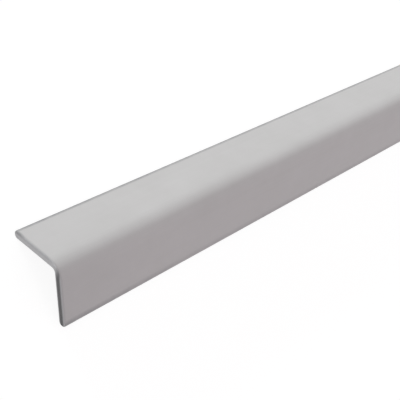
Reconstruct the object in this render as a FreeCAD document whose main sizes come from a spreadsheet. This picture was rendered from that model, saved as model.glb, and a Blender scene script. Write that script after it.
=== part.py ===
# Corner guard moulding: one rigid extruded angle that covers an outside wall corner.
#
# Two equal legs meet at a right angle under a rounded nose. The die draws one section, of one
# wall thickness, and the stock is that section cut square to length. It lies as it comes to
# rest on a floor: nose up, like a low ridge, on the free edges of its two legs. X runs along
# the stock, Z is up, and the origin is on the floor under the middle of the ridge.
import FreeCAD, Part
import os
from enum import IntEnum
import Sketcher

NODE = "corner_guard"
RIGHT_ANGLE = 90.0                      # degrees between the two legs
LEG_SLOPE = RIGHT_ANGLE / 2             # degrees that each leg falls away from the nose

# The driving dimensions, in millimetres: name, size, meaning.
DRIVING_SIZES = [
    ("stock_length", "1219.2", "cut length of the stock, four feet"),
    ("leg_width", "28.6", "outer width of a leg, from the nose's sharp corner to the free edge"),
    ("wall_thickness", "3.2", "wall, the same in both legs and round the nose"),
    ("throat_radius", "1.5", "round inside the corner, where the legs meet"),
    ("lip_flat", "0.2", "flat left between the two rounds of a free edge"),
]

# The sizes that follow from them. The nose turns about the same centre as the throat, so the
# wall keeps its thickness round the corner, and the two rounds of a free edge share the wall.
NOSE_RADIUS = "Sizes.throat_radius + Sizes.wall_thickness"
LIP_RADIUS = "(Sizes.wall_thickness - Sizes.lip_flat) / 2"
RIDGE_HEIGHT = "(Sizes.leg_width + Sizes.lip_flat) / sqrt(2) + " + LIP_RADIUS


class At(IntEnum):
    """Which end of a line or arc a constraint holds."""
    START = 1
    END = 2


class Axis(IntEnum):
    """The sketch's own axes; the horizontal one starts at the sketch's origin."""
    HORIZONTAL = -1
    VERTICAL = -2


ORIGIN = (Axis.HORIZONTAL, At.START)


def add_size_sheet(doc):
    """The driving dimensions, one row each: what the size is, its value, and its name."""
    sheet = doc.addObject("Spreadsheet::Sheet", "Sizes")
    for row, (name, size, meaning) in enumerate(DRIVING_SIZES, start=1):
        sheet.set("A%d" % row, meaning)
        sheet.set("B%d" % row, size)
        sheet.setAlias("B%d" % row, name)
    doc.recompute()
    return sheet


def origin_plane(body, role):
    """One of the body's own origin planes, by its role."""
    for feature in body.Origin.OriginFeatures:
        if feature.Role == role:
            return feature
    raise RuntimeError("the body has no " + role)


def flat_ends(sheet):
    """The two ends of each flat of the section, anticlockwise from the nose.

    The outer faces' sharp corner is the sketch's origin. One leg hangs from it and the other
    runs level, so flats alternate: upright, level, upright, level, upright, level.
    """
    leg = sheet.leg_width
    wall = sheet.wall_thickness
    lip = float(sheet.evalExpression(LIP_RADIUS))
    curve = float(sheet.evalExpression(NOSE_RADIUS))    # where the nose and the throat begin
    return {
        "hanging_outer": ((0, -curve), (0, lip - leg)),
        "hanging_edge": ((lip, -leg), (wall - lip, -leg)),
        "hanging_inner": ((wall, lip - leg), (wall, -curve)),
        "level_inner": ((curve, -wall), (leg - lip, -wall)),
        "level_edge": ((leg, lip - wall), (leg, -lip)),
        "level_outer": ((leg - lip, 0), (curve, 0)),
    }


def quarter_round(start, end, from_upright):
    """The arc that is tangent to an upright flat at one end and to a level one at the other."""
    centre_x, centre_y = (end[0], start[1]) if from_upright else (start[0], end[1])
    towards_x = start[0] + end[0] - 2 * centre_x
    towards_y = start[1] + end[1] - 2 * centre_y
    shrink = abs(end[0] - start[0]) / (towards_x ** 2 + towards_y ** 2) ** 0.5
    middle = (centre_x + shrink * towards_x, centre_y + shrink * towards_y)
    return Part.Arc(*[FreeCAD.Vector(x, y, 0) for x, y in (start, middle, end)])


def draw_section(sketch, sheet):
    """Six flats, each with the quarter round that joins it to the next one."""
    ends = flat_ends(sheet)
    flats = {}
    for name, (start, end) in ends.items():
        line = Part.LineSegment(FreeCAD.Vector(*start, 0), FreeCAD.Vector(*end, 0))
        flats[name] = sketch.addGeometry(line, False)
    names = list(ends)
    rounds = {}
    for index, name in enumerate(names):
        following = names[(index + 1) % len(names)]
        arc = quarter_round(ends[name][1], ends[following][0], from_upright=index % 2 == 0)
        rounds[name] = sketch.addGeometry(arc, False)
    return flats, rounds


def join_outline(sketch, flats, rounds):
    """Level and upright flats, each tangent to the rounds before and after it."""
    names = list(flats)
    for index, name in enumerate(names):
        direction = "Vertical" if index % 2 == 0 else "Horizontal"
        sketch.addConstraint(Sketcher.Constraint(direction, flats[name]))
        # An arc runs anticlockwise, as the outline does, but for the throat's, which turns back.
        near, far = (At.END, At.START) if name == "hanging_inner" else (At.START, At.END)
        following = flats[names[(index + 1) % len(names)]]
        sketch.addConstraint(Sketcher.Constraint("Tangent", flats[name], At.END, rounds[name], near))
        sketch.addConstraint(Sketcher.Constraint("Tangent", rounds[name], far, following, At.START))


def size_section(sketch, flats, rounds):
    """Places the outline and binds its sizes to the sheet, until nothing is left free."""
    on_axis = [("hanging_outer", Axis.VERTICAL), ("level_outer", Axis.HORIZONTAL)]
    for name, axis in on_axis:
        sketch.addConstraint(Sketcher.Constraint("PointOnObject", flats[name], At.START, axis))

    # A free edge has a round before it and one after it, named for the flat that each follows.
    lip = rounds["hanging_outer"]
    for name in ("hanging_edge", "level_inner", "level_edge"):
        sketch.addConstraint(Sketcher.Constraint("Equal", lip, rounds[name]))

    def width_to(name):
        return ("DistanceX", *ORIGIN, flats[name], At.START)

    def depth_to(name):
        return ("DistanceY", flats[name], At.START, *ORIGIN)

    sizes = [
        ("hanging_wall", width_to("hanging_inner"), "Sizes.wall_thickness"),
        ("level_wall", depth_to("level_inner"), "Sizes.wall_thickness"),
        ("hanging_leg", depth_to("hanging_edge"), "Sizes.leg_width"),
        ("level_leg", width_to("level_edge"), "Sizes.leg_width"),
        ("throat", ("Radius", rounds["hanging_inner"]), "Sizes.throat_radius"),
        ("nose", ("Radius", rounds["level_outer"]), NOSE_RADIUS),
        ("lip", ("Radius", lip), LIP_RADIUS),
    ]
    for name, what, expression in sizes:
        value = float(sketch.evalExpression(expression))
        number = sketch.addConstraint(Sketcher.Constraint(*what, value))
        sketch.renameConstraint(number, name)
        sketch.setExpression("Constraints." + name, expression)


def make_guard(doc, sheet):
    """The stock: the section run along X, cut square at both ends and laid nose up."""
    body = doc.addObject("PartDesign::Body", NODE)
    body.Label = NODE
    sketch = body.newObject("Sketcher::SketchObject", "section")
    sketch.AttachmentSupport = [(origin_plane(body, "YZ_Plane"), "")]
    sketch.MapMode = "FlatFace"
    flats, rounds = draw_section(sketch, sheet)
    join_outline(sketch, flats, rounds)
    size_section(sketch, flats, rounds)

    stock = body.newObject("PartDesign::Pad", "stock")
    stock.Profile = sketch
    stock.SideType = "Symmetric"
    stock.setExpression("Length", "Sizes.stock_length")
    body.Tip = stock

    nose_up = FreeCAD.Rotation(FreeCAD.Vector(1, 0, 0), -LEG_SLOPE)
    body.Placement = FreeCAD.Placement(FreeCAD.Vector(0, 0, 0), nose_up)
    body.setExpression("Placement.Base.z", RIDGE_HEIGHT)
    return body, sketch


def check_model(doc, body, sketch):
    """Stops if a feature failed, the section has freedom left, or the stock isn't one solid."""
    for item in doc.Objects:
        if "Invalid" in item.State or "Error" in item.State:
            raise RuntimeError(item.Name + " failed: " + str(item.State))
    if sketch.solve() != 0 or not sketch.FullyConstrained:
        raise RuntimeError("the section isn't fully constrained")
    if body.Shape.isNull() or not body.Shape.isValid() or len(body.Shape.Solids) != 1:
        raise RuntimeError(body.Label + " isn't one valid solid")


def main():
    doc = FreeCAD.newDocument("corner_guard_moulding")
    sheet = add_size_sheet(doc)
    body, sketch = make_guard(doc, sheet)
    doc.recompute()
    check_model(doc, body, sketch)

    os.makedirs("parts", exist_ok=True)
    body.Shape.exportStep(os.path.join("parts", body.Label + ".step"))
    box = body.Shape.BoundBox
    print("%s: %.1f long, %.2f wide and %.2f high, lowest at %.4f, volume %.1f cm3" % (
        body.Label, box.XLength, box.YLength, box.ZLength, box.ZMin, body.Shape.Volume / 1000))


main()
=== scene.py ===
# %% [markdown]
# # Corner guard moulding
# A corner guard is a rigid plastic angle that is glued over an outside wall corner, where
# trolleys and chairs would chip the plaster. Its whole form is one section, drawn by an
# extrusion die and run out in a straight line: two equal legs, a rounded nose where they meet,
# and a soft lip along each free edge. Here it is modelled the same way, section first and
# length second, and then given the two finishes that such a piece has: the satin skin that the
# die leaves, and the duller face that the saw leaves.

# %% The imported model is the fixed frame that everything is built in
import math

import bmesh
import bpy
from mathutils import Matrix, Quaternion, Vector


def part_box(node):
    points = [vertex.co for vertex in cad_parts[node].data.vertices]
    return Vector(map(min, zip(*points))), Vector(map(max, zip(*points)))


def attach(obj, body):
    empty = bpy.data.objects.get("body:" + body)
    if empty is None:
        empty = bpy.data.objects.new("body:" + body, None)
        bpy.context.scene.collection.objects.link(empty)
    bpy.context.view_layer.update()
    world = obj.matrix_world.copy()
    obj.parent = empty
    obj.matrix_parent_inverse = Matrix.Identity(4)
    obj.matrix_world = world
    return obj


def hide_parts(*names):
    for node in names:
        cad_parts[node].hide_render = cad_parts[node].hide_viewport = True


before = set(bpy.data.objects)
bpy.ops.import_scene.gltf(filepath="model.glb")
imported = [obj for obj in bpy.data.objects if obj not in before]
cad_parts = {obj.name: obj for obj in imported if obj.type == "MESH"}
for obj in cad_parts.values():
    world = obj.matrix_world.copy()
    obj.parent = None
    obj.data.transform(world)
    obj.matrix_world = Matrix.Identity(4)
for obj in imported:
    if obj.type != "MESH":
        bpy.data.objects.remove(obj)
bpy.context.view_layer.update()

GUARD_NODE = "corner_guard"
guard_low, guard_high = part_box(GUARD_NODE)
print("the stock lies from", tuple(guard_low), "to", tuple(guard_high))

# %% [markdown]
# ## The section's sizes
# The length is read from the frame. The section isn't written in it, so the few sizes that a
# die maker would ask for are named here, in metres, and the rest follows from them. The stock
# lies nose up on the free edges of its legs, so each leg slopes at 45 degrees, and a distance
# along a leg is shared equally between across and down.

# %% Sizes of the moulding, in metres
MM = 0.001
LEG = 28.6 * MM              # a leg's outer width, from the nose's sharp corner
WALL = 3.2 * MM
THROAT_ROUND = 1.5 * MM      # inside the corner
LIP_FLAT = 0.2 * MM          # left between the two rounds of a free edge
NOSE_ROUND = WALL + THROAT_ROUND
LIP_ROUND = (WALL - LIP_FLAT) / 2
SLOPE = math.sqrt(0.5)       # share of a distance along a leg that goes across, and down

start_x, end_x = guard_low.x, guard_high.x
length = end_x - start_x
sharp_nose_z = (LEG + LIP_FLAT) * SLOPE + LIP_ROUND
print(f"section: {LEG / MM:.1f} mm legs, {WALL / MM:.1f} mm wall, nose {NOSE_ROUND / MM:.1f} mm")
print(f"stock: {length / MM:.1f} mm long, sharp nose corner {sharp_nose_z / MM:.2f} mm high")

# %% [markdown]
# ## The camera
# The picture was taken from close by, from above the near end, with the camera rolled so far
# that the ridge runs up to the right across the frame. Its place, the point that it looks at
# and its roll are real sizes in the frame. A camera looks along its own -Z, so it is first
# turned to face the point and then rolled about that line.

# %% Place the camera
CAMERA_AT = Vector((-708.4, -9.4, 241.7)) * MM
LOOKS_AT = Vector((-543.7, -0.7, 21.9)) * MM
ROLL = math.radians(60.1)
FOCAL_LENGTH = 62.5          # millimetres, on a sensor 36 mm wide

line_of_sight = LOOKS_AT - CAMERA_AT
facing = line_of_sight.to_track_quat("-Z", "Y") @ Quaternion((0, 0, 1), ROLL)
bpy.ops.object.camera_add(location=CAMERA_AT, rotation=facing.to_euler())
camera = bpy.context.object
camera.name = "camera"
camera.data.sensor_width = 36
camera.data.lens = FOCAL_LENGTH
camera.data.clip_start = 1 * MM
bpy.context.scene.camera = camera
print(f"camera {line_of_sight.length / MM:.0f} mm from the point that it looks at")

# %% [markdown]
# ## Working in edit mode
# Most of the shaping is done as by hand: choose some edges or faces, then run one operator on
# them. An operator acts on all that is selected, so these helpers first clear the selection
# and then choose by place.

# %% Helpers that choose geometry
NEAR = 0.01 * MM


def edit(piece):
    """Makes the piece the only selected object and opens it in edit mode, nothing chosen."""
    bpy.ops.object.select_all(action="DESELECT")
    piece.select_set(True)
    bpy.context.view_layer.objects.active = piece
    bpy.ops.object.mode_set(mode="EDIT")
    bpy.ops.mesh.select_all(action="DESELECT")


def choose_faces(piece, wanted):
    """Selects the faces whose middle passes the test, and says how many."""
    bpy.ops.mesh.select_mode(type="FACE")
    bpy.ops.mesh.select_all(action="DESELECT")
    mesh = bmesh.from_edit_mesh(piece.data)
    chosen = [face for face in mesh.faces if wanted(face.calc_center_median())]
    for face in chosen:
        face.select_set(True)
    bmesh.update_edit_mesh(piece.data)
    return len(chosen)


def choose_long_edges(piece, corners):
    """Selects the edges that run along the stock through these (y, z) corners of the section."""
    bpy.ops.mesh.select_mode(type="EDGE")
    bpy.ops.mesh.select_all(action="DESELECT")
    mesh = bmesh.from_edit_mesh(piece.data)
    count = 0
    for edge in mesh.edges:
        ends = [vertex.co for vertex in edge.verts]
        for y, z in corners:
            if all(math.hypot(end.y - y, end.z - z) < NEAR for end in ends):
                edge.select_set(True)
                count += 1
    bmesh.update_edit_mesh(piece.data)
    return count


# %% [markdown]
# ## The section
# The section is a square balanced on its corner, with a smaller square taken out of it from
# below. A circle of only four sides, turned to face along the stock, is that first square: its
# top corner is the nose and its side corners are the free edges. Two bisect cuts, each one
# wall in from an outer face, then part it into the corner, the two legs and the hollow, and
# the hollow is deleted. What is left is dissolved into a single L-shaped face, so that no
# needless line runs down the finished legs.

# %% Draw the section at the near end
bpy.ops.object.select_all(action="DESELECT")
bpy.ops.mesh.primitive_circle_add(
    vertices=4,
    radius=LEG * SLOPE,
    fill_type="NGON",
    location=(start_x, 0, sharp_nose_z - LEG * SLOPE),
    rotation=(0, math.radians(90), 0),
)
guard = bpy.context.object
guard.name = "corner_guard_moulding"
bpy.ops.object.transform_apply(location=True, rotation=True, scale=True)

edit(guard)
for side in (-1, 1):
    bpy.ops.mesh.select_all(action="SELECT")
    inward = Vector((0, -side * SLOPE, -SLOPE))
    bpy.ops.mesh.bisect(
        plane_co=Vector((start_x, 0, sharp_nose_z)) + inward * WALL,
        plane_no=inward,
    )
hollow_top_z = sharp_nose_z - WALL / SLOPE
hollow_faces = choose_faces(guard, lambda middle: abs(middle.y) < NEAR and middle.z < hollow_top_z)
bpy.ops.mesh.delete(type="FACE")
bpy.ops.mesh.select_all(action="SELECT")
bpy.ops.mesh.dissolve_limited(angle_limit=math.radians(1))
bpy.ops.object.mode_set(mode="OBJECT")
print(f"took out {hollow_faces} face; the section has {len(guard.data.vertices)} corners")

# %% [markdown]
# ## The length
# The die pushes the section out in a straight line, and extrude does the same: the L-shaped
# face is drawn along X from one saw cut to the other. Extruding a lone face leaves the start
# open to question, since its normal may end up pointing inwards, so the normals are set
# outwards once the bar is closed.

# %% Run the section out to the stock length
edit(guard)
bpy.ops.mesh.select_all(action="SELECT")
bpy.ops.mesh.extrude_region_move(TRANSFORM_OT_translate={"value": (length, 0, 0)})
bpy.ops.mesh.select_all(action="SELECT")
bpy.ops.mesh.normals_make_consistent(inside=False)
print(f"the bar has {len(bmesh.from_edit_mesh(guard.data).faces)} faces")

# %% [markdown]
# ## The rounds
# A die has no sharp corners. The throat is a small round, and each free edge has a round on
# both sides with hardly any flat between. The nose is drawn as an arc about the throat's
# centre, but warm plastic relaxes as it leaves the die: the flats begin to turn early, and the
# turn is tightest at the crown. That is a bevel that starts further from the corner than the
# arc does. A profile above 0.5 holds its crown out, so that it ends up only 0.75 mm lower than
# the arc's. Many segments keep facets out of the light that rolls over it.

# %% Round the long edges
NOSE_START = 1.8 * NOSE_ROUND        # where a flat begins to turn, from the sharp corner
NOSE_PROFILE = 0.6
NOSE_SEGMENTS = 48
SMALL_SEGMENTS = 12
nose = [(0, sharp_nose_z)]
throat = [(0, hollow_top_z)]
lips = []
for side in (-1, 1):
    lips.append((side * LEG * SLOPE, sharp_nose_z - LEG * SLOPE))
    lips.append((side * (LEG - WALL) * SLOPE, sharp_nose_z - (LEG + WALL) * SLOPE))

for corners, reach, segments, profile in (
    (nose, NOSE_START, NOSE_SEGMENTS, NOSE_PROFILE),
    (throat, THROAT_ROUND, SMALL_SEGMENTS, 0.5),
    (lips, LIP_ROUND, SMALL_SEGMENTS, 0.5),
):
    count = choose_long_edges(guard, corners)
    bpy.ops.mesh.bevel(offset=reach, segments=segments, profile=profile, affect="EDGES")
    print(f"rounded {count} long edge(s), {reach / MM:.1f} mm either way")
bpy.ops.object.mode_set(mode="OBJECT")

# %% [markdown]
# ## The saw cuts
# A chop saw leaves a square end. Its outer arris, the one that hands and trolleys meet, has
# been eased to a soft round, and the inner one is nearly as the blade left it. One bevel makes
# both, with a weight on each short edge round the two ends. The weight comes from the strip of
# the outline that the edge closes: full where it faces out, small where it faces in. Over a lip
# it follows the cosine of the turn, because a quicker change would fold the end face over.

# %% Ease the arris of both ends
ARRIS = 0.7 * MM             # on the outside
INNER_SHARE = 0.2            # of that on the inside
ARRIS_SEGMENTS = 5
LIPS_FROM = 0.8 * LEG * SLOPE        # a strip further from the middle than this is a lip's
SAWN_WITHIN = 0.4 * ARRIS            # faces this near to an end are the saw's

edit(guard)
mesh = bmesh.from_edit_mesh(guard.data)
weight = mesh.edges.layers.float.new("bevel_weight_edge")
short_edges = 0
for strip in mesh.faces:
    if abs(strip.normal.x) > 0.5:
        continue                                        # a saw cut itself
    y = strip.calc_center_median().y
    faces_out = math.copysign(1, strip.normal.z)        # 1 on the outside, -1 on the inside
    if abs(y) > LIPS_FROM:                              # a lip turns from out to in
        sideways = strip.normal.y if y > 0 else -strip.normal.y
        faces_out = (sideways + strip.normal.z) * SLOPE
    for edge in strip.edges:
        near_end, far_end = edge.verts
        if abs(near_end.co.x - far_end.co.x) < NEAR:
            edge[weight] = INNER_SHARE + (1 - INNER_SHARE) * (1 + faces_out) / 2
            short_edges += 1
bmesh.update_edit_mesh(guard.data)
bpy.ops.object.mode_set(mode="OBJECT")

easing = guard.modifiers.new("eased_arris", "BEVEL")
easing.limit_method = "WEIGHT"
easing.width = ARRIS
easing.segments = ARRIS_SEGMENTS
easing.use_clamp_overlap = False
bpy.ops.object.modifier_apply(modifier=easing.name)
print(f"eased {short_edges} short edges round the two ends")

# %% [markdown]
# ## Smooth shading that leaves the flats flat
# Smooth shading averages the normals where a flat meets its round, and that would make the
# wide flats look faintly dished. Shading is smooth only across small angles, and a weighted
# normal modifier then gives the big faces the last word, so that the flats stay flat and the
# rounds stay round.

# %% Shade the moulding
SMOOTH_UNDER = math.radians(30)
bpy.ops.object.shade_smooth_by_angle(angle=SMOOTH_UNDER)
weighted = guard.modifiers.new("flats_stay_flat", "WEIGHTED_NORMAL")
weighted.keep_sharp = True
bpy.ops.object.modifier_apply(modifier=weighted.name)
print(f"the moulding has {len(guard.data.polygons)} faces")

# %% [markdown]
# ## Writing materials
# Colours are written as sRGB hex, as a paint card or an image editor gives them, and one
# function turns them to the linear values that Blender works in. Another adds a node with its
# settings and its inputs: an input is either a plain value or the socket that feeds it, under
# the socket's own identifier, because a Mix or Math node has several sockets of one name.

# %% Helpers for materials


def srgb(hex_colour):
    """Linear RGBA from an sRGB hex colour such as "C8C8C7"."""
    channels = [int(hex_colour[place:place + 2], 16) / 255 for place in (0, 2, 4)]
    return (*[c / 12.92 if c <= 0.04045 else ((c + 0.055) / 1.055) ** 2.4 for c in channels], 1)


def new_material(name):
    """A node material with nothing in it yet."""
    material = bpy.data.materials.new(name)
    material.use_nodes = True
    material.node_tree.nodes.clear()
    return material


def add_node(tree, kind, settings=None, **inputs):
    """Adds a node, sets its fields, fills its inputs with values or links, and gives it back."""
    node = tree.nodes.new(kind)
    for name, value in (settings or {}).items():
        setattr(node, name, value)
    sockets = {socket.identifier.replace(" ", "_"): socket for socket in node.inputs}
    for name, value in inputs.items():
        if isinstance(value, bpy.types.NodeSocket):
            tree.links.new(value, sockets[name])
        else:
            sockets[name].default_value = value
    return node


# %% [markdown]
# ## Places on the section
# The painted shade and the dark marks follow the section, so the finishes need to know where on it
# a point lies: how far down its leg from the nose's sharp corner, or how far in from the outer
# face. With the legs at 45 degrees, both come from the depth below that corner and the distance
# from the middle: the first from their sum and the second from their difference. They are worked
# out from Object coordinates, so that the pattern stays on the piece.

# %% Helper that measures along and into a leg


def section_distance(tree, axes, operation):
    """A socket in metres: the distance down the leg for ADD, the depth in the wall for SUBTRACT."""
    across = add_node(tree, "ShaderNodeMath", {"operation": "ABSOLUTE"}, Value=axes.outputs["Y"])
    below = add_node(
        tree, "ShaderNodeMath", {"operation": "SUBTRACT"},
        Value=sharp_nose_z, Value_001=axes.outputs["Z"],
    )
    together = add_node(
        tree, "ShaderNodeMath", {"operation": operation},
        Value=below.outputs[0], Value_001=across.outputs[0],
    )
    return add_node(
        tree, "ShaderNodeMath", {"operation": "MULTIPLY"},
        Value=together.outputs[0], Value_001=SLOPE,
    ).outputs[0]


# %% [markdown]
# ## Finish 1: extruded rigid PVC
# The skin is rigid PVC, grey all through, as it left the die: an even satin with hairlines
# along its length, each from a scratch on the die's lip, and a faint mottle from the filler.
# PVC has an index of refraction near 1.54. Its satin lies half way between a gloss and a chalky
# surface, so the roughness is about 0.5.

# %% The clean skin
PVC_IOR = 1.54
DIE_LINE = 0.45 * MM         # spacing of the hairlines; the real ones are finer than would show
RUN_OUT = 0.003              # along the stock a hairline changes at this share of its rate across
MOTTLE = 14 * MM             # width of the filler's cloudy patches
GRAIN = 0.3 * MM             # the fine orange peel of an extruded skin
LINED = 0.35                 # the hairlines' share in the colour; the rest is mottle
SKIN_DARKER, SKIN_PALER = "BFBFBE", "D2D2D2"

skin = new_material("extruded_rigid_pvc_satin")
tree = skin.node_tree
place = add_node(tree, "ShaderNodeTexCoord").outputs["Object"]
stretched = add_node(tree, "ShaderNodeMapping", Vector=place, Scale=(RUN_OUT, 1, 1))
die_lines = add_node(
    tree, "ShaderNodeTexNoise",
    Vector=stretched.outputs["Vector"], Scale=1 / DIE_LINE, Detail=3, Roughness=0.6,
).outputs["Fac"]
mottle = add_node(
    tree, "ShaderNodeTexNoise", Vector=place, Scale=1 / MOTTLE, Detail=4, Roughness=0.55,
).outputs["Fac"]
grain = add_node(
    tree, "ShaderNodeTexNoise", Vector=place, Scale=1 / GRAIN, Detail=2, Roughness=0.5,
).outputs["Fac"]
cloudy_and_lined = add_node(
    tree, "ShaderNodeMix", Factor_Float=LINED, A_Float=mottle, B_Float=die_lines,
).outputs[0]
clean_colour = add_node(
    tree, "ShaderNodeMix", {"data_type": "RGBA"},
    Factor_Float=cloudy_and_lined, A_Color=srgb(SKIN_DARKER), B_Color=srgb(SKIN_PALER),
).outputs[2]
print("the clean skin has", len(tree.nodes), "nodes")

# %% [markdown]
# Along the free edges the skin's colour is darkened, as painted shade on the rounds of the lips.
# One leg has a wide faint band, and the other has a thin dark line at its very edge. A share for
# each leg is read off the distance across, since each free edge lies furthest out on its own side.
# Towards the ends both grow darker, and the band more than the line. A noise makes all of it
# patchy.

# %% Painted shade along the free edges
WIDE_BAND_FROM = LEG - 4.5 * MM      # down the leg, on the side of -Y
THIN_LINE_FROM = LEG - 3 * MM        # on the side of +Y
EDGE_SHADE_FULL = LEG - 1 * MM
WIDE_BAND_SHADE, THIN_LINE_SHADE = 0.22, 0.56      # shares of the painted shade's colour
SHADE_PATCH = 5 * MM
THIN_PATCH, THICK_PATCH = 0.75, 1.25             # times the usual painted shade
NOISE_LOW, NOISE_HIGH = 0.3, 0.7                 # nearly all of a noise lies between these
END_STRETCH = 60 * MM            # the last stretch before each end, where the marks grow darker
BAND_AT_ENDS, LINE_AT_ENDS = 2.2, 1.3            # times the painted shade of the middle

axes = add_node(tree, "ShaderNodeSeparateXYZ", Vector=place)
down_the_leg = section_distance(tree, axes, "ADD")
edge_to_edge = {"Value": axes.outputs["Y"], "From_Min": -LEG * SLOPE, "From_Max": LEG * SLOPE}
shade_from = add_node(
    tree, "ShaderNodeMapRange", **edge_to_edge, To_Min=WIDE_BAND_FROM, To_Max=THIN_LINE_FROM,
).outputs["Result"]
most_shade = add_node(
    tree, "ShaderNodeMapRange", **edge_to_edge, To_Min=WIDE_BAND_SHADE, To_Max=THIN_LINE_SHADE,
).outputs["Result"]
near_the_edge = add_node(
    tree, "ShaderNodeMapRange", {"interpolation_type": "SMOOTHSTEP"},
    Value=down_the_leg, From_Min=shade_from, From_Max=EDGE_SHADE_FULL, To_Min=0, To_Max=most_shade,
).outputs["Result"]

patches = add_node(
    tree, "ShaderNodeTexNoise", Vector=place, Scale=1 / SHADE_PATCH, Detail=3, Roughness=0.6,
).outputs["Fac"]
thickness = add_node(
    tree, "ShaderNodeMapRange",
    Value=patches, From_Min=NOISE_LOW, From_Max=NOISE_HIGH, To_Min=THIN_PATCH, To_Max=THICK_PATCH,
).outputs["Result"]
from_middle = add_node(
    tree, "ShaderNodeMath", {"operation": "ABSOLUTE"}, Value=axes.outputs["X"],
).outputs[0]
most_at_ends = add_node(
    tree, "ShaderNodeMapRange", **edge_to_edge, To_Min=BAND_AT_ENDS, To_Max=LINE_AT_ENDS,
).outputs["Result"]
towards_end = add_node(
    tree, "ShaderNodeMapRange",
    Value=from_middle, From_Min=end_x - END_STRETCH, From_Max=end_x, To_Min=1, To_Max=most_at_ends,
).outputs["Result"]
uneven = add_node(
    tree, "ShaderNodeMath", {"operation": "MULTIPLY"}, Value=thickness, Value_001=towards_end,
).outputs[0]
# painted shade at the free edges, patchy and darker towards the ends
painted_edge_shade = add_node(
    tree, "ShaderNodeMath", {"operation": "MULTIPLY"}, Value=near_the_edge, Value_001=uneven,
).outputs[0]
print(f"painted edge shade over {(LEG - WIDE_BAND_FROM) / MM:.1f} and {(LEG - THIN_LINE_FROM) / MM:.1f} mm")

# %% [markdown]
# Both ends are darker too: a little over the last stretch, and more in a ring round the eased
# arris, darkest at the tip of the leg that stands out most. Wherever painted shade and these marks
# meet, the darker one shows. The ring runs on over the cut, so its share is a helper that both
# finishes call.

# %% Darker ends
END_DARKENING = 0.06              # a slight darkening
ARRIS_RING = 1.3 * MM        # width of the ring
RING_DARKNESS, TIP_DARKNESS = 0.24, 0.62
TIP_FROM, TIP_FULL = LEG - 8 * MM, LEG - 3 * MM          # down the leg on the side of +Y


def ring_darkness(tree, axes):
    """A socket: the ring's share of the dark colour, which rises towards the tip on the side of +Y.
    """
    return add_node(
        tree, "ShaderNodeMapRange", {"interpolation_type": "SMOOTHSTEP"},
        Value=axes.outputs["Y"], From_Min=TIP_FROM * SLOPE, From_Max=TIP_FULL * SLOPE,
        To_Min=RING_DARKNESS, To_Max=TIP_DARKNESS,
    ).outputs["Result"]


darker_near_ends = add_node(
    tree, "ShaderNodeMapRange", {"interpolation_type": "SMOOTHSTEP"},
    Value=from_middle, From_Min=end_x - END_STRETCH, From_Max=end_x, To_Min=0, To_Max=END_DARKENING,
).outputs["Result"]
arris_ring_share = add_node(
    tree, "ShaderNodeMapRange", {"interpolation_type": "SMOOTHSTEP"},
    Value=from_middle, From_Min=end_x - ARRIS_RING, From_Max=end_x - SAWN_WITHIN,
    To_Min=0, To_Max=ring_darkness(tree, axes),
).outputs["Result"]
# painted shade along the free edges, joined by the darker ends and arris ring
shade_and_marks = painted_edge_shade
for mark_share in (darker_near_ends, arris_ring_share):
    shade_and_marks = add_node(
        tree, "ShaderNodeMath", {"operation": "MAXIMUM"}, Value=shade_and_marks, Value_001=mark_share,
    ).outputs[0]
print(f"a darker ring {ARRIS_RING / MM:.1f} mm wide round each end")

# %% The skin's shader
SHADE_AND_MARK_COLOUR = "6F7276"
SMOOTHEST, ROUGHEST = 0.46, 0.56
PEEL_DEPTH, LINE_DEPTH = 0.01 * MM, 0.016 * MM

# the dark colour gives the painted shade at the free edges, and the darker ends and arris ring
colour = add_node(
    tree, "ShaderNodeMix", {"data_type": "RGBA"},
    Factor_Float=shade_and_marks, A_Color=clean_colour, B_Color=srgb(SHADE_AND_MARK_COLOUR),
).outputs[2]
satin = add_node(
    tree, "ShaderNodeMapRange",
    Value=mottle, From_Min=NOISE_LOW, From_Max=NOISE_HIGH, To_Min=SMOOTHEST, To_Max=ROUGHEST,
).outputs["Result"]
peel = add_node(tree, "ShaderNodeBump", Height=grain, Strength=1, Distance=PEEL_DEPTH)
lined = add_node(
    tree, "ShaderNodeBump", Height=die_lines, Strength=1, Distance=LINE_DEPTH,
    Normal=peel.outputs["Normal"],
)
plastic = add_node(
    tree, "ShaderNodeBsdfPrincipled",
    Base_Color=colour, Roughness=satin, IOR=PVC_IOR, Normal=lined.outputs["Normal"],
)
add_node(tree, "ShaderNodeOutputMaterial", Surface=plastic.outputs["BSDF"])
guard.data.materials.append(skin)
print("made", skin.name)

# %% [markdown]
# ## Finish 2: the sawn ends
# A saw tears PVC a little instead of polishing it. The cut is duller than the skin, with
# shallow arcs as wide apart as the blade's teeth bite. The arcs are rings of a wave about a
# point far off to the side, as far as the blade's axle was. A wave texture of scale 1 repeats
# every pi / 10 metres, so that length over the wanted spacing is its scale.

# %% The clean cut
TOOTH_BITE = 1 * MM          # a real blade's is about a fifth of this, too fine to show
SCORE_DEPTH = 0.02 * MM
BLADE_RADIUS = 125 * MM
AXLE_ASIDE, AXLE_BELOW = 0.6 * BLADE_RADIUS, 0.8 * BLADE_RADIUS

cut = new_material("sawn_rigid_pvc")
tree = cut.node_tree
place = add_node(tree, "ShaderNodeTexCoord").outputs["Object"]
blade = add_node(
    tree, "ShaderNodeMapping",
    Vector=place, Location=(0, AXLE_ASIDE, AXLE_BELOW), Scale=(0, 1, 1),
)
arcs = add_node(
    tree, "ShaderNodeTexWave", {"wave_type": "RINGS", "rings_direction": "X"},
    Vector=blade.outputs["Vector"], Scale=math.pi / 10 / TOOTH_BITE, Distortion=1.5, Detail=2,
).outputs["Fac"]
scored = add_node(tree, "ShaderNodeBump", Height=arcs, Strength=1, Distance=SCORE_DEPTH)
print("saw arcs", TOOTH_BITE / MM, "mm apart")
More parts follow.
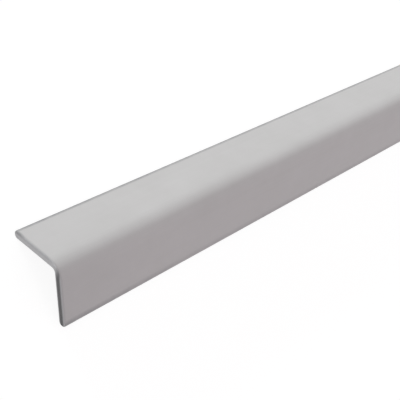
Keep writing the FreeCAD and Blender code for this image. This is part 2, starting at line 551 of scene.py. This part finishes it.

# %% [markdown]
# One leg of the cut is darker down to its tip. The darkening keeps to the middle of the wall's
# thickness and fades towards the rims on both sides. The other leg is only a little darker at its
# tip, and the darker ring round the outer arris runs on from the skin, over both.

# %% Dark marks on the cut
DARK_LEG_FROM = 1.5 * MM        # across, where it begins, just on the other leg's side
DARK_LEG_FULL = 5 * MM          # down the dark leg, where it has its full darkness
OUTER_RIM, INNER_RIM = 0.36, 0.7     # depths in the wall between which the smear is full
INNER_RIM_SHARE = 0.1        # what is left of it on the inner rim
DULL_TIP = 3 * MM            # the end of the other leg
DULL_TIP_DARK = 0.4          # its share of dark
RING_FROM, RING_FULL = 0.5, 0.05     # depths between which the ring of dirt comes in

axes = add_node(tree, "ShaderNodeSeparateXYZ", Vector=place)
depth = add_node(                        # 0 on the outer face, 1 on the inner one
    tree, "ShaderNodeMath", {"operation": "DIVIDE"},
    Value=section_distance(tree, axes, "SUBTRACT"), Value_001=WALL,
).outputs[0]
fades = {
    "down_dark_leg": dict(
        Value=axes.outputs["Y"], From_Min=DARK_LEG_FROM, From_Max=-DARK_LEG_FULL * SLOPE,
        To_Min=0, To_Max=1,
    ),
    "off_outer_rim": dict(Value=depth, From_Min=0, From_Max=OUTER_RIM, To_Min=0, To_Max=1),
    "off_inner_rim": dict(
        Value=depth, From_Min=1, From_Max=INNER_RIM, To_Min=INNER_RIM_SHARE, To_Max=1,
    ),
    "at_other_tip": dict(
        Value=axes.outputs["Y"], From_Min=(LEG - DULL_TIP) * SLOPE, From_Max=LEG * SLOPE,
        To_Min=0, To_Max=DULL_TIP_DARK,
    ),
    "on_the_arris": dict(
        Value=depth, From_Min=RING_FROM, From_Max=RING_FULL,
        To_Min=0, To_Max=ring_darkness(tree, axes),
    ),
}
share = {}
for name, fade in fades.items():
    share[name] = add_node(
        tree, "ShaderNodeMapRange", {"interpolation_type": "SMOOTHSTEP"}, **fade,
    ).outputs["Result"]

darker_leg = share["down_dark_leg"]
for rim in ("off_outer_rim", "off_inner_rim"):
    darker_leg = add_node(
        tree, "ShaderNodeMath", {"operation": "MULTIPLY"}, Value=darker_leg, Value_001=share[rim],
    ).outputs[0]
dark = darker_leg
for mark in ("at_other_tip", "on_the_arris"):
    dark = add_node(
        tree, "ShaderNodeMath", {"operation": "MAXIMUM"}, Value=dark, Value_001=share[mark],
    ).outputs[0]
print("dark marks:", ", ".join(share))

# %% The cut's shader, on both ends
CUT_CLEAN, CUT_DARK = "D3D6D7", "656667"
CUT_ROUGHNESS = 0.7

cut_colour = add_node(
    tree, "ShaderNodeMix", {"data_type": "RGBA"},
    Factor_Float=dark, A_Color=srgb(CUT_CLEAN), B_Color=srgb(CUT_DARK),
).outputs[2]
sawn = add_node(
    tree, "ShaderNodeBsdfPrincipled",
    Base_Color=cut_colour, Roughness=CUT_ROUGHNESS, IOR=PVC_IOR, Normal=scored.outputs["Normal"],
)
add_node(tree, "ShaderNodeOutputMaterial", Surface=sawn.outputs["BSDF"])
guard.data.materials.append(cut)

for face in guard.data.polygons:
    from_end = min(face.center.x - start_x, end_x - face.center.x)
    if from_end < SAWN_WITHIN:
        face.material_index = 1
print("made", cut.name, "for", sum(face.material_index for face in guard.data.polygons), "faces")

# %% The piece stands for the plain solid
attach(guard, "root")
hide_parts(GUARD_NODE)

# %% [markdown]
# ## Light
# The light is that of a white studio tent. The world lights everything evenly, but for a
# faintly rosy side beyond the hanging leg, and one soft sun, low over the far side, lifts the
# far leg above the near one. On the far leg the two add up to about one, so that its colour
# renders as it is written. What the camera and the reflections see of the tent is plain white.

# %% World and sun
FILL = 0.56                 # the world's strength; with the sun, the far leg gets about 1
SUN = 1.24
TENT_SIDES, TENT_TOP = 0.7, 1.3       # shares of the fill
WHITE_SIDE, ROSY_SIDE = "FAFFFD", "FFEFF5"
SUN_HEIGHT = math.radians(12)
SUN_SPREAD = math.radians(8)
SUN_ALONG = 0.05            # it stands a hair towards +X

scene = bpy.context.scene
scene.view_settings.view_transform = "Standard"
world = bpy.data.worlds.new("white_tent")
scene.world = world
world.use_nodes = True
world.node_tree.nodes.clear()


def sees_background(tree):
    """1 for the rays that show the background: the camera's own, and reflections of it."""
    ray = add_node(tree, "ShaderNodeLightPath")
    mirrored = add_node(
        tree, "ShaderNodeMath", {"operation": "MAXIMUM"},
        Value=ray.outputs["Is Glossy Ray"], Value_001=ray.outputs["Is Transmission Ray"],
    )
    return add_node(
        tree, "ShaderNodeMath", {"operation": "MAXIMUM"},
        Value=ray.outputs["Is Camera Ray"], Value_001=mirrored.outputs[0],
    ).outputs[0]


tree = world.node_tree
direction = add_node(tree, "ShaderNodeTexCoord").outputs["Generated"]
sideways = add_node(tree, "ShaderNodeSeparateXYZ", Vector=direction)
height = add_node(
    tree, "ShaderNodeMapRange",
    Value=sideways.outputs["Z"], From_Min=0, From_Max=1, To_Min=TENT_SIDES, To_Max=TENT_TOP,
).outputs["Result"]
strength = add_node(
    tree, "ShaderNodeMath", {"operation": "MULTIPLY"}, Value=height, Value_001=FILL,
).outputs[0]
near_side = add_node(
    tree, "ShaderNodeMapRange",
    Value=sideways.outputs["Y"], From_Min=1, From_Max=-1, To_Min=0, To_Max=1,
).outputs["Result"]
tent_colour = add_node(
    tree, "ShaderNodeMix", {"data_type": "RGBA"},
    Factor_Float=near_side, A_Color=srgb(WHITE_SIDE), B_Color=srgb(ROSY_SIDE),
).outputs[2]
fill = add_node(tree, "ShaderNodeBackground", Color=tent_colour, Strength=strength)
white = add_node(tree, "ShaderNodeBackground", Color=srgb("FFFFFF"), Strength=1)
tent = add_node(
    tree, "ShaderNodeMixShader",
    Fac=sees_background(tree), Shader=fill.outputs[0], Shader_001=white.outputs[0],
)
add_node(tree, "ShaderNodeOutputWorld", Surface=tent.outputs[0])

bpy.ops.object.light_add(type="SUN", location=(0, 1, 1))
sun = bpy.context.object
sun.name = "sun"
sun.data.energy = SUN
sun.data.angle = SUN_SPREAD
sun_from = Vector((SUN_ALONG, math.cos(SUN_HEIGHT), math.sin(SUN_HEIGHT)))
sun.rotation_euler = sun_from.to_track_quat("Z", "Y").to_euler()
print(f"fill {FILL}, sun {SUN}")

# %% [markdown]
# ## Floor
# The floor is pale and plain. The camera sees it nearly white, with the soft shadow that the
# moulding casts, while the light that it sends back to the moulding is that of a real pale
# floor.

# %% Lay the floor
FLOOR_SIZE = 12              # metres
SHADOW_SHARE = 0.20          # how much of the real floor the camera sees; the rest is white
WHITE_GLOW = 1.12            # that rest's strength, which makes up for the real floor's share
bpy.ops.object.select_all(action="DESELECT")
bpy.ops.mesh.primitive_plane_add(size=FLOOR_SIZE, location=(0, 0, guard_low.z))
floor = bpy.context.object
floor.name = "floor"
paint = new_material("white_floor")
tree = paint.node_tree
matt = add_node(tree, "ShaderNodeBsdfDiffuse", Color=srgb("F0F0F0"))
glow = add_node(tree, "ShaderNodeEmission", Color=srgb("FFFFFF"), Strength=WHITE_GLOW)
shown_floor = add_node(
    tree, "ShaderNodeMixShader",
    Fac=SHADOW_SHARE, Shader=glow.outputs[0], Shader_001=matt.outputs[0],
)
surface = add_node(
    tree, "ShaderNodeMixShader",
    Fac=sees_background(tree), Shader=matt.outputs[0], Shader_001=shown_floor.outputs[0],
)
add_node(tree, "ShaderNodeOutputMaterial", Surface=surface.outputs[0])
floor.data.materials.append(paint)
print("the floor is", FLOOR_SIZE, "m wide")
